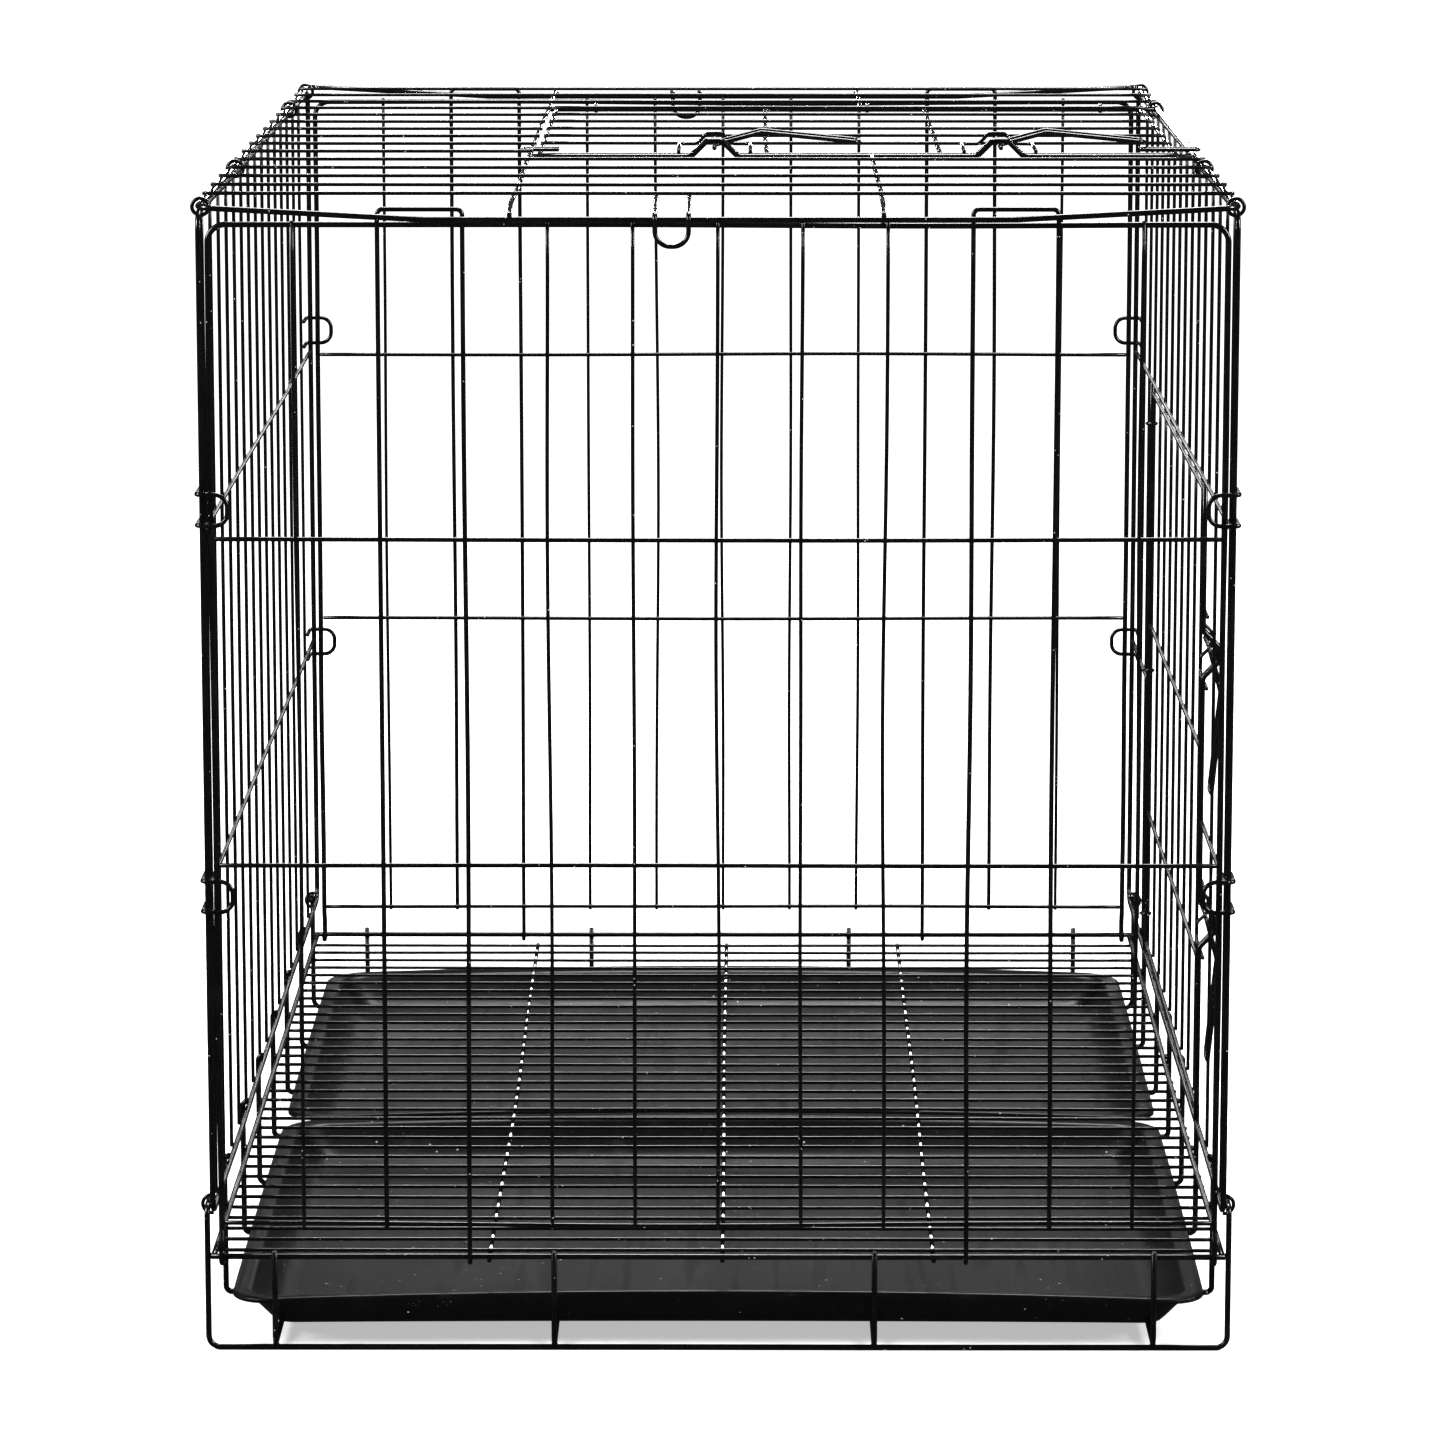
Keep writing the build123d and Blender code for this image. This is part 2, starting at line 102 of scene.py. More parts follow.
# The nodes of each wire panel, door or kind of small piece.
BASE = ("floor_border", "floor_wires", "floor_bars", "foot_frames", "long_rails", "cross_rails")
LEFT = ("left_side_border", "left_side_bars", "left_side_wires")
RIGHT = ("right_side_border", "right_side_bars", "right_side_wires", "side_door_frame")
TOP = ("top_border", "top_bars", "top_wires", "top_door_frame", "top_tabs")
CLIPS = ("left_top_clips", "right_top_clips", "left_foot_clips", "right_foot_clips")
SIDE_HOOKS = ("near_side_hooks", "far_side_hooks")
END_PARTS = ("border", "bars", "wires", "latch_loops")
TOP_DOOR = ("top_door_border", "top_door_bars", "top_door_wires", "top_door_bolt_guides",
            "top_door_hinge_eyes", "top_door_stops")
SIDE_DOOR = ("side_door_border", "side_door_bars", "side_door_wires", "side_door_bolt_guides",
             "side_door_hinge_eyes")
BOLTS = ("top_bolt_left", "top_bolt_right", "side_bolt_lower", "side_bolt_upper")
TRAYS = ("near_tray", "far_tray")
EDGE_LIT = (*TOP, *TOP_DOOR, "left_top_clips", "right_top_clips", "floor_bars")

# How the CAD's wires are read. Places are in metres and angles in radians.
SAME_PLACE = 2e-5  # points this close are one point
FREE_END_WITHIN = 5e-5  # a flat cap this close to a run's end is that end's own
SLIVER = 1e-12  # triangles with less than this cross product have no use as a direction
SMALLEST_SIZE = 1e-15  # keeps the division by a triangle's size finite
FLAT_SPREAD = 1e-4  # the normals of a flat cap spread less than this across
STRAIGHT_SPREAD = 1e-5  # the normals of a straight run spread less than this along it
SLANTED = (0.36, 0.48, 0.8)  # gives a run's ring a direction to measure its angles from
ANGLE_DIGITS, ANGLE_SLACK = 3, 0.02  # how exactly the angles round a ring are compared
NEARLY_PARALLEL = 0.02  # runs closer to parallel than this aren't welded
WELD_GAP = 0.15 * MM  # runs whose surfaces are this close are welded
CREASE = math.radians(50)  # edges sharper than this stay sharp

# A free end narrows to END_SIZE over END_TRIM of the wire's radius, unless that is more of the
# run than LONGEST_TRIM.
END_TRIM, END_SIZE, LONGEST_TRIM = 0.3, 0.7, 0.2

# A wire's bow is three waves, each of a random size. Thick wires bow less. Short runs stay
# straight, and so do runs that stand out of their panel's plane.
WAVES = (1, 0.6, 0.35)
WAVE_SPREAD, WAVE_LIMIT = 0.5, 0.9
SHORTEST_BOWED, FULL_BOW_LENGTH = 90 * MM, 0.55
FULL_BOW_RADIUS = 1.3 * MM
LEAST_ACROSS = 0.5

# A tray's arch is whole over its ends, SIDE_ARCH of that along its sides, and FLOOR_ARCH of it at
# the floor. The rim's corners get tighter by CORNER_LOSS of each inset, down to LEAST_CORNER.
END_ZONE, SIDE_ARCH, FLOOR_ARCH, ARCH_CENTRE = 0.8, 0.35, 0.55, 0.5
LEAST_CORNER, CORNER_LOSS = 8 * MM, 0.55


# ------------------------------------------------------------------ settings
class CrateWireSettings(bpy.types.PropertyGroup):
    """Sizes and colours of the coated wire."""

    bow: bpy.props.FloatProperty(
        name="Bow", description="How far a long wire strays from straight",
        default=2.2 * MM, unit="LENGTH",
    )
    segment: bpy.props.FloatProperty(
        name="Segment", description="Length of one straight step along a bowed wire",
        default=32 * MM, unit="LENGTH",
    )
    bead: bpy.props.FloatProperty(
        name="Weld bead", description="Weld bead's radius against the thinner wire's", default=1.12,
    )
    coating: bpy.props.FloatVectorProperty(
        name="Coating", description="Colour of the wire's coating", subtype="COLOR",
        default=(0.0030, 0.0030, 0.0031),
    )
    coating_light: bpy.props.FloatVectorProperty(
        name="Thin coating", description="Colour where the coating is thin", subtype="COLOR",
        default=(0.0070, 0.0070, 0.0073),
    )
    dust: bpy.props.FloatVectorProperty(
        name="Dust", description="Colour of the dust specks", subtype="COLOR",
        default=(0.42, 0.41, 0.39),
    )
    rubbed: bpy.props.FloatVectorProperty(
        name="Rubbed steel", description="Colour where a bolt has rubbed", subtype="COLOR",
        default=(0.07, 0.07, 0.072),
    )


class CrateTraySettings(bpy.types.PropertyGroup):
    """Sizes and colours of the trays."""

    wall: bpy.props.FloatProperty(
        name="Wall", description="Thickness of the moulding", default=2 * MM, unit="LENGTH",
    )
    rim: bpy.props.FloatProperty(
        name="Rim", description="Width of the flared rim", default=10 * MM, unit="LENGTH",
    )
    slope: bpy.props.FloatProperty(
        name="Slope", description="How far a wall leans in from rim to floor",
        default=20 * MM, unit="LENGTH",
    )
    corner: bpy.props.FloatProperty(
        name="Corner", description="Radius of the rim's corners", default=30 * MM, unit="LENGTH",
    )
    crown: bpy.props.FloatProperty(
        name="Crown", description="How far the long edges rise in the middle",
        default=7 * MM, unit="LENGTH",
    )
    plastic: bpy.props.FloatVectorProperty(
        name="Plastic", description="Colour of the trays", subtype="COLOR",
        default=(0.0030, 0.0030, 0.0031),
    )
    scuffed: bpy.props.FloatVectorProperty(
        name="Scuffed plastic", description="Colour along faint scuffs", subtype="COLOR",
        default=(0.0105, 0.0105, 0.0108),
    )


class CrateStageSettings(bpy.types.PropertyGroup):
    """Camera and light."""

    lens: bpy.props.FloatProperty(
        name="Lens", description="Focal length in millimetres", default=152.6,
    )
    distance: bpy.props.FloatProperty(
        name="Distance", description="From the near end to the camera", default=4.051, unit="LENGTH",
    )
    height: bpy.props.FloatProperty(
        name="Height", description="Camera's height", default=1.171, unit="LENGTH",
    )
    aside: bpy.props.FloatProperty(
        name="Aside", description="Camera's place across the crate", default=0.0169, unit="LENGTH",
    )
    tilt: bpy.props.FloatProperty(
        name="Tilt", description="How far the camera looks down",
        default=math.radians(10.25), unit="ROTATION",
    )
    turn: bpy.props.FloatProperty(
        name="Turn", description="How far the camera looks to the left",
        default=0.0034, unit="ROTATION",
    )
    floor: bpy.props.FloatVectorProperty(
        name="Floor", description="Colour of the studio floor", subtype="COLOR",
        default=(0.93, 0.93, 0.93),
    )
    # Painted light: the floor's own glow near the crate. Further out the floor glows full white.
    painted_floor_glow: bpy.props.FloatVectorProperty(
        name="Painted floor glow", description="How far the backlit paper shines round the crate",
        subtype="COLOR", default=(0.42, 0.42, 0.42),
    )
    fill: bpy.props.FloatProperty(
        name="Fill", description="Strength of the light from all round", default=0.05,
    )


# -------------------------------------------------------------------- shaders
class Signal:
    """A shader socket that adds Math nodes as it is used in arithmetic."""

    def __init__(self, shader, socket):
        self.shader = shader
        self.socket = socket

    def _math(self, operation, first, second):
        return self.shader.add("ShaderNodeMath", {"operation": operation}, {0: first, 1: second})

    def __add__(self, other):
        return self._math("ADD", self, other)

    def __radd__(self, other):
        return self._math("ADD", other, self)

    def __sub__(self, other):
        return self._math("SUBTRACT", self, other)

    def __rsub__(self, other):
        return self._math("SUBTRACT", other, self)

    def __mul__(self, other):
        return self._math("MULTIPLY", self, other)

    def __rmul__(self, other):
        return self._math("MULTIPLY", other, self)

    def __lt__(self, other):
        return self._math("LESS_THAN", self, other)

    def __gt__(self, other):
        return self._math("GREATER_THAN", self, other)


class Shader:
    """The nodes of one material, or of the world."""

    def __init__(self, owner, surface="Principled BSDF"):
        self.owner = owner
        owner.use_nodes = True
        self.tree = owner.node_tree
        self.surface = self.tree.nodes[surface]

    def add(self, kind, settings, inputs, output=0):
        """Adds one node: its settings first, then the values or links of its sockets."""
        node = self.tree.nodes.new(kind)
        for key, value in settings.items():
            setattr(node, key, value)
        for key, value in inputs.items():
            self.feed(node.inputs[key], value)
        return Signal(self, node.outputs[output])

    def feed(self, socket, value):
        """Links a signal to a socket, or sets the socket's own value."""
        if isinstance(value, Signal):
            self.tree.links.new(value.socket, socket)
        elif socket.type == "RGBA":
            socket.default_value = (*value[:3], 1)
        else:
            socket.default_value = value

    def place(self, stretch=(1, 1, 1)):
        """The place on the object in metres, stretched."""
        where = self.add("ShaderNodeTexCoord", {}, {}, "Object")
        return self.add("ShaderNodeMapping", {}, {"Vector": where, "Scale": stretch})

    def noise(self, scale, detail=2.0, stretch=(1, 1, 1)):
        """Soft noise from 0 to 1."""
        inputs = {"Vector": self.place(stretch), "Scale": scale, "Detail": detail}
        return self.add("ShaderNodeTexNoise", {}, inputs, "Fac")

    def between(self, value, low, high):
        """Maps low..high to 0..1, held at both ends."""
        inputs = {"Value": value, "From Min": low, "From Max": high}
        return self.add("ShaderNodeMapRange", {"clamp": True}, inputs)

    def mix(self, factor, first, second):
        """A colour between two colours."""
        return self.add("ShaderNodeMix", {"data_type": "RGBA"}, {0: factor, 6: first, 7: second}, 2)

    def specks(self, scale, size, share):
        """Small scattered specks: 1 on a speck and 0 elsewhere."""
        inputs = {"Vector": self.place(), "Scale": scale}
        near = self.add("ShaderNodeTexVoronoi", {}, inputs, "Distance")
        patches = self.noise(scale * 0.21, 1.0)
        return (near < size) * (patches > share)

    def bump(self, height, strength, depth, under=None):
        """A bump, over another one if given."""
        inputs = {"Height": height, "Strength": strength, "Distance": depth}
        if under is not None:
            inputs["Normal"] = under
        return self.add("ShaderNodeBump", {}, inputs)

    def finish(self, **sockets):
        """Feeds the surface's sockets, named with underscores for spaces."""
        for key, value in sockets.items():
            self.feed(self.surface.inputs[key.replace("_", " ")], value)
        return self.owner


def coated_wire(blank):
    """Gloss black coating: a soft ripple, thin patches and a few dust specks."""
    wire = bpy.context.scene.crate_wire
    shader = Shader(blank)
    ripple = shader.noise(420, 3.0)
    patches = shader.noise(38, 3.0)
    dust = shader.specks(230, 0.11, 0.60)
    thin = shader.between(patches, 0.45, 0.75)
    colour = shader.mix(thin, wire.coating, wire.coating_light)
    return shader.finish(
        Base_Color=shader.mix(dust, colour, wire.dust),
        Roughness=0.14 + patches * 0.14 + dust * 0.4,
        Coat_Weight=shader.between(patches, 0.75, 0.3) * 0.3,
        Coat_Roughness=0.08,
        Normal=shader.bump(ripple, 0.22, 0.3 * MM),
    )


def bolt_wire(blank):
    """The same coating, rubbed back to dull steel in fine lines where a bolt slides."""
    wire = bpy.context.scene.crate_wire
    shader = Shader(blank)
    ripple = shader.noise(420, 3.0)
    patches = shader.noise(60, 3.0)
    scratches = shader.noise(900, 2.0, (1, 0.06, 1))
    rubbed = shader.between(scratches, 0.62, 0.70) * shader.between(patches, 0.42, 0.6)
    colour = shader.mix(patches, wire.coating, wire.coating_light)
    return shader.finish(
        Base_Color=shader.mix(rubbed, colour, wire.rubbed),
        Roughness=0.14 + patches * 0.14 + rubbed * 0.2,
        Metallic=rubbed * 0.8,
        Coat_Weight=(1 - rubbed) * 0.3,
        Coat_Roughness=0.08,
        Normal=shader.bump(ripple, 0.22, 0.3 * MM),
    )


def tray_plastic(blank):
    """Black moulded plastic: satin, faint scuffs along its length, dust and a slow waviness."""
    tray = bpy.context.scene.crate_tray
    shader = Shader(blank)
    grain = shader.noise(1500, 2.0)
    waves = shader.noise(5.5, 1.0)
    smears = shader.noise(9, 4.0, (1, 0.35, 1))
    scuffs = shader.between(shader.noise(70, 4.0, (1, 0.07, 1)), 0.56, 0.76)
    dust = shader.specks(105, 0.085, 0.56)
    fine_dust = shader.specks(300, 0.10, 0.62)
    specks = dust + fine_dust * 0.6
    colour = shader.mix(scuffs * 0.5 + smears * 0.3, tray.plastic, tray.scuffed)
    slow = shader.bump(waves, 0.8, 3.0 * MM)
    return shader.finish(
        Base_Color=shader.mix(specks, colour, bpy.context.scene.crate_wire.dust),
        Specular_IOR_Level=0.3,
        Roughness=0.26 + smears * 0.2 + scuffs * 0.14 + specks * 0.3,
        Normal=shader.bump(grain, 0.16, 0.12 * MM, slow),
    )


def studio_floor(blank):
    """Pale seamless paper with a barely visible tooth. It glows with painted light, dimmer round the
    crate and full white further away.
    """
    shader = Shader(blank)
    tooth = shader.noise(240, 3.0)
    reach = shader.add("ShaderNodeVectorMath", {"operation": "LENGTH"}, {0: shader.place()}, "Value")
    stage = bpy.context.scene.crate_stage
    return shader.finish(
        Base_Color=stage.floor,
        # Painted light: the floor glows, dimmer within about a metre of the crate and white from 3 m
        # out.
        Emission_Color=shader.mix(shader.between(reach, 0.9, 3.0), stage.painted_floor_glow, (1, 1, 1)),
        Emission_Strength=1,
        Roughness=0.75 + tooth * 0.15,
        Normal=shader.bump(tooth, 0.05, 0.2 * MM),
    )


def material(name):
    """The named material, made once."""
    makers = {
        "coated_wire": coated_wire, "bolt_wire": bolt_wire,
        "tray_plastic": tray_plastic, "studio_floor": studio_floor,
    }
    made = bpy.data.materials.get(f"{name}_finish")
    return made or makers[name](bpy.data.materials.new(f"{name}_finish"))


# ----------------------------------------------------------------------- wires
class Run:
    """One straight run of wire: its ends, its radius, its ring of points and its bow."""

    def __init__(self, start, end, ring, bow):
        self.start, self.end, self.ring = start, end, ring
        self.length = float(np.linalg.norm(end - start))
        self.axis = (end - start) / self.length
        self.radius = float(np.linalg.norm(ring, axis=1).max())
        self.bow = bow

    def shift(self, share):
        """How far the wire strays at this share of its length. Both ends stay put."""
        share = np.asarray(share)[..., None]
        waves = sum(
            size * np.sin(math.pi * (k + 1) * share) for k, size in enumerate(self.bow[1])
        )
        return self.bow[0] * waves * np.sin(math.pi * share)

    def at(self, share):
        """The middle of the wire at this share of its length."""
        share = np.asarray(share)
        return self.start + (self.end - self.start) * share[..., None] + self.shift(share)


def surface_patches(mesh):
    """The patches of a CAD mesh: arrays of its triangles, one for each face of the design."""
    count = len(mesh.vertices)
    corners = np.empty(len(mesh.loops), np.int64)
    mesh.loops.foreach_get("vertex_index", corners)
    triangles = corners.reshape(-1, 3)
    label = np.arange(count)
    while True:
        lowest = label[triangles].min(1)
        fresh = label.copy()
        for k in range(3):
            np.minimum.at(fresh, triangles[:, k], lowest)
        fresh = fresh[fresh]
        if (fresh == label).all():
            break
        label = fresh
    owner = label[triangles[:, 0]]
    order = np.argsort(owner, kind="stable")
    cuts = np.flatnonzero(np.diff(owner[order])) + 1
    return [triangles[part] for part in np.split(order, cuts)]


def patch_kind(points):
    """Says what a patch is from its triangles' points: a flat end, a straight run or a bend."""
    normals = np.cross(points[:, 1] - points[:, 0], points[:, 2] - points[:, 0])
    sizes = np.linalg.norm(normals, axis=1, keepdims=True)
    normals = (normals / np.maximum(sizes, SMALLEST_SIZE))[sizes[:, 0] > SLIVER]
    values, vectors = np.linalg.eigh(normals.T @ normals / max(len(normals), 1))
    if values[1] < FLAT_SPREAD:
        return "end", vectors[:, 2]
    return ("run", vectors[:, 0]) if values[0] < STRAIGHT_SPREAD else ("bend", None)


def ring_of(points, axis, place):
    """The points of a run's end ring, in order round its axis, and the ring's middle."""
    along = points @ axis
    rim = points[np.abs(along - place) < SAME_PLACE]
    middle = (rim.min(0) + rim.max(0)) / 2
    middle += axis * (place - middle @ axis)
    first = np.cross(axis, SLANTED)
    first /= np.linalg.norm(first)
    second = np.cross(axis, first)
    angle = np.arctan2((rim - middle) @ second, (rim - middle) @ first)
    keep = np.unique(np.round(angle, ANGLE_DIGITS), return_index=True)[1]
    if len(keep) > 2 and angle[keep[-1]] - angle[keep[0]] > 2 * math.pi - ANGLE_SLACK:
        keep = keep[:-1]
    return rim[keep], middle


def tube_faces(rings, sides):
    """The faces between rings of points that follow each other."""
    return [
        (k * sides + i, k * sides + (i + 1) % sides,
         (k + 1) * sides + (i + 1) % sides, (k + 1) * sides + i)
        for k in range(rings - 1) for i in range(sides)
    ]


class WireMesh:
    """Collects points and faces for one piece."""

    def __init__(self):
        self.points, self.faces, self.count = [], [], 0

    def add(self, points, faces):
        """Adds points and the faces between them."""
        self.points.append(np.asarray(points, float))
        self.faces += [tuple(int(i) + self.count for i in face) for face in faces]
        self.count += len(points)

    def add_run(self, run, open_start, open_end):
        """Adds a bowed run, with rounded-off ends where nothing continues it."""
        wire = bpy.context.scene.crate_wire
        steps = max(1, round(run.length / wire.segment)) if len(run.bow[1]) else 1
        shares = list(np.linspace(0, 1, steps + 1))
        sizes = [1.0] * len(shares)
        trim = END_TRIM * run.radius / run.length
        if open_start and trim < LONGEST_TRIM:
            shares[:1], sizes[:1] = [0.0, trim], [END_SIZE, 1.0]
        if open_end and trim < LONGEST_TRIM:
            shares[-1:], sizes[-1:] = [1 - trim, 1.0], [1.0, END_SIZE]
        middles = run.at(np.array(shares))
        rings = [middle + run.ring * size for middle, size in zip(middles, sizes)]
        sides = len(run.ring)
        faces = tube_faces(len(rings), sides)
        if open_start:
            faces.append(tuple(reversed(range(sides))))
        if open_end:
            faces.append(tuple((len(rings) - 1) * sides + i for i in range(sides)))
        self.add(np.vstack(rings), faces)

    def add_bead(self, middle, radius):
        """Adds a small weld bead."""
        rows, sides = 5, 8
        points = [middle + np.array((0, 0, radius)), middle - np.array((0, 0, radius))]
        for row in range(1, rows):
            high = math.pi * row / rows
            for k in range(sides):
                turn = 2 * math.pi * k / sides
                spot = (math.sin(high) * math.cos(turn), math.sin(high) * math.sin(turn),
                        math.cos(high))
                points.append(middle + radius * np.array(spot))
        faces = []
        for k in range(sides):
            beside = (k + 1) % sides
            faces.append((0, 2 + k, 2 + beside))
            last = 2 + (rows - 2) * sides
            faces.append((1, last + beside, last + k))
            for row in range(rows - 2):
                low = 2 + row * sides
                faces.append((low + k, low + sides + k, low + sides + beside, low + beside))
        self.add(points, faces)

    def piece(self, name, finish):
        """Makes the object, with coincident points joined and smooth shading."""
        mesh = bpy.data.meshes.new(name)
        mesh.from_pydata(np.vstack(self.points).tolist(), [], self.faces)
        mesh.validate()
        obj = bpy.data.objects.new(name, mesh)
        bpy.context.scene.collection.objects.link(obj)
        join_points(mesh)
        mesh.polygons.foreach_set("use_smooth", [True] * len(mesh.polygons))
        mesh.set_sharp_from_angle(angle=CREASE)
        mesh.materials.append(material(finish))
        return obj


def join_points(mesh):
    """Joins points that lie on each other."""
    work = bmesh.new()
    work.from_mesh(mesh)
    bmesh.ops.remove_doubles(work, verts=work.verts, dist=SAME_PLACE)
    bmesh.ops.recalc_face_normals(work, faces=work.faces)
    work.to_mesh(mesh)
    work.free()


def bow_of(axis, length, radius, flat, random):
    """The bow of one wire, in the plane of its panel: longer and thinner wires stray more."""
    aside = np.cross(np.array(flat), axis)
    size = np.linalg.norm(aside)
    if length < SHORTEST_BOWED or size < LEAST_ACROSS:
        return np.zeros(3), ()
    reach = bpy.context.scene.crate_wire.bow
    reach = reach * min(1.0, length / FULL_BOW_LENGTH) * min(1.0, FULL_BOW_RADIUS / radius)
    waves = random.normal(0, WAVE_SPREAD, len(WAVES)).clip(-WAVE_LIMIT, WAVE_LIMIT)
    return aside / size, waves * reach * WAVES


def read_wires(node, flat, random):
    """Splits a CAD wire node into straight runs, bends and free ends."""
    mesh = frame["nodes"][node].data
    spots = np.empty(3 * len(mesh.vertices))
    mesh.vertices.foreach_get("co", spots)
    spots = spots.reshape(-1, 3)
    runs, bends, ends = [], [], []
    for triangles in surface_patches(mesh):
        points = spots[triangles]
        kind, axis = patch_kind(points)
        if kind == "end":
            flat_points = points.reshape(-1, 3)
            ends.append((flat_points.min(0) + flat_points.max(0)) / 2)
        elif kind == "bend":
            bends.append(points)
        else:
            every = points.reshape(-1, 3)
            along = every @ axis
            length = along.max() - along.min()
            ring, start = ring_of(every, axis, along.min())
            end = start + axis * length
            radius = 0.5 * np.ptp(ring, axis=0).max()
            bow = bow_of(axis, length, radius, flat, random)
            runs.append(Run(start, end, ring - start, bow))
    return runs, bends, np.array(ends).reshape(-1, 3)


def weld_spots(runs):
    """Where two straight runs of a panel touch, and the thinner one's radius there.

    The nearest points of a run and each later one are found as shares of their lengths.
    """
    starts = np.array([run.start for run in runs])
    whole = np.array([run.end - run.start for run in runs])
    sizes = np.array([run.radius for run in runs])
    for i, run in enumerate(runs[:-1]):
        mine, others, offset = whole[i], whole[i + 1:], run.start - starts[i + 1:]
        mine_mine, mine_others = mine @ mine, others @ mine
        others_others = (others * others).sum(1)
        offset_mine, offset_others = offset @ mine, (offset * others).sum(1)
        slant = mine_mine * others_others - mine_others * mine_others
        slant = np.where(slant < NEARLY_PARALLEL * mine_mine * others_others, np.nan, slant)
        here = (mine_others * offset_others - others_others * offset_mine) / slant
        there = (mine_mine * offset_others - mine_others * offset_mine) / slant
        apart = offset + here[:, None] * mine - there[:, None] * others
        gap = np.linalg.norm(apart, axis=1) - run.radius - sizes[i + 1:]
        spare_here, spare_there = run.radius / run.length, sizes[i + 1:] / np.sqrt(others_others)
        inside = (here > -spare_here) & (here < 1 + spare_here)
        inside &= (there > -spare_there) & (there < 1 + spare_there)
        for j in np.flatnonzero(inside & (np.abs(gap) < WELD_GAP)):
            other = runs[i + 1 + j]
            first, second = np.clip((here[j], there[j]), 0, 1)
            share = run.radius / (run.radius + other.radius)
            straight = run.start + mine * first - apart[j] * share
            yield straight + run.shift(first) + other.shift(second), min(run.radius, other.radius)


def caps_at(place, ends):
    """How many flat caps of the CAD stand at a place: one is a free end, two meet at a joint."""
    return (np.linalg.norm(ends - place, axis=1) < FREE_END_WITHIN).sum() if len(ends) else 0


def build_panel(nodes, flat, seed, finish="coated_wire"):
    """Builds smooth wires for a group of nodes that are welded together. The seed is the
    group's own, so each group keeps its bows whatever the others do."""
    random = np.random.default_rng(seed)
    every_run, meshes = [], {}
    for node in nodes:
        runs, bends, ends = read_wires(node, flat, random)
        if not runs and not bends:
            raise RuntimeError(f"{node} holds no wire")
        mesh = WireMesh()
        for run in runs:
            mesh.add_run(run, caps_at(run.start, ends) == 1, caps_at(run.end, ends) == 1)
        for points in bends:
            mesh.add(points.reshape(-1, 3), np.arange(points.shape[0] * 3).reshape(-1, 3))
        meshes[node] = mesh
        every_run += [(run, node) for run in runs]
    runs = [run for run, _ in every_run]
    if len(runs) > 1:
        bead = bpy.context.scene.crate_wire.bead
        for middle, radius in weld_spots(runs):
            home = min(every_run, key=lambda item: float(
                np.linalg.norm(np.cross(middle - item[0].start, item[0].axis))
            ))[1]
            meshes[home].add_bead(middle, radius * bead)
    for node, mesh in meshes.items():
        piece = mesh.piece(f"{node}_smooth", finish)
        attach(piece, frame["nodes"][node]["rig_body"])
        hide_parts(node)


# ----------------------------------------------------------------------- trays
def rounded_outline(half_x, half_y, corner, per_corner=10, per_side=12):
    """Points round a rectangle with round corners, evenly placed on each stretch."""
    points = []
    quarter = math.pi / 2
    centres = ((1, 1), (-1, 1), (-1, -1), (1, -1))
    for k, (sx, sy) in enumerate(centres):
        middle = Vector((sx * (half_x - corner), sy * (half_y - corner)))
        for step in range(per_corner + 1):
            angle = quarter * (k + step / per_corner)
            points.append(middle + corner * Vector((math.cos(angle), math.sin(angle))))
        nx, ny = centres[(k + 1) % 4]
        after = Vector((nx * (half_x - corner), ny * (half_y - corner)))
        angle = quarter * (k + 1)
        after += corner * Vector((math.cos(angle), math.sin(angle)))
        start = points[-1]
        points += [start.lerp(after, step / per_side) for step in range(1, per_side)]
    return points


def tray_profile(tray, deep):
    """The moulding's section as (inset from the rim's edge, height), from the top of the
    floor over the rim to the underside."""
    wall, rim, slope = tray.wall, tray.rim, tray.slope
    foot = rim + slope
    return [
        (foot + 90 * MM, wall), (foot + 30 * MM, wall), (foot + 9 * MM, wall),
        (foot + 4 * MM, wall + 0.5 * MM), (foot + 0.5 * MM, wall + 2.2 * MM),
        (foot - 2.5 * MM, wall + 5 * MM), (rim + 4.5 * MM, deep - 6.5 * MM),
        (rim + 3.2 * MM, deep - 3.4 * MM), (rim + 1.6 * MM, deep - 1.5 * MM),
        (rim - 0.6 * MM, deep - 0.8 * MM), (rim - 2.6 * MM, deep - 0.9 * MM),
        (rim - 3.6 * MM, deep - 0.3 * MM), (2.6 * MM, deep), (1.2 * MM, deep - 0.3 * MM),
        (0.3 * MM, deep - 1.2 * MM), (0, deep - 2.4 * MM), (0, deep - 4.0 * MM),
        (1.4 * MM, deep - 4.0 * MM), (1.5 * MM, deep - 2.6 * MM), (2.4 * MM, deep - wall),
        (rim - 1 * MM, deep - wall - 0.8 * MM), (rim + 1.0 * MM, deep - 5.5 * MM),
        (foot - 4.6 * MM, 4.4 * MM), (foot - 2 * MM, 1.4 * MM), (foot + 2 * MM, 0.2 * MM),
        (foot + 8 * MM, 0), (foot + 30 * MM, 0),
    ]


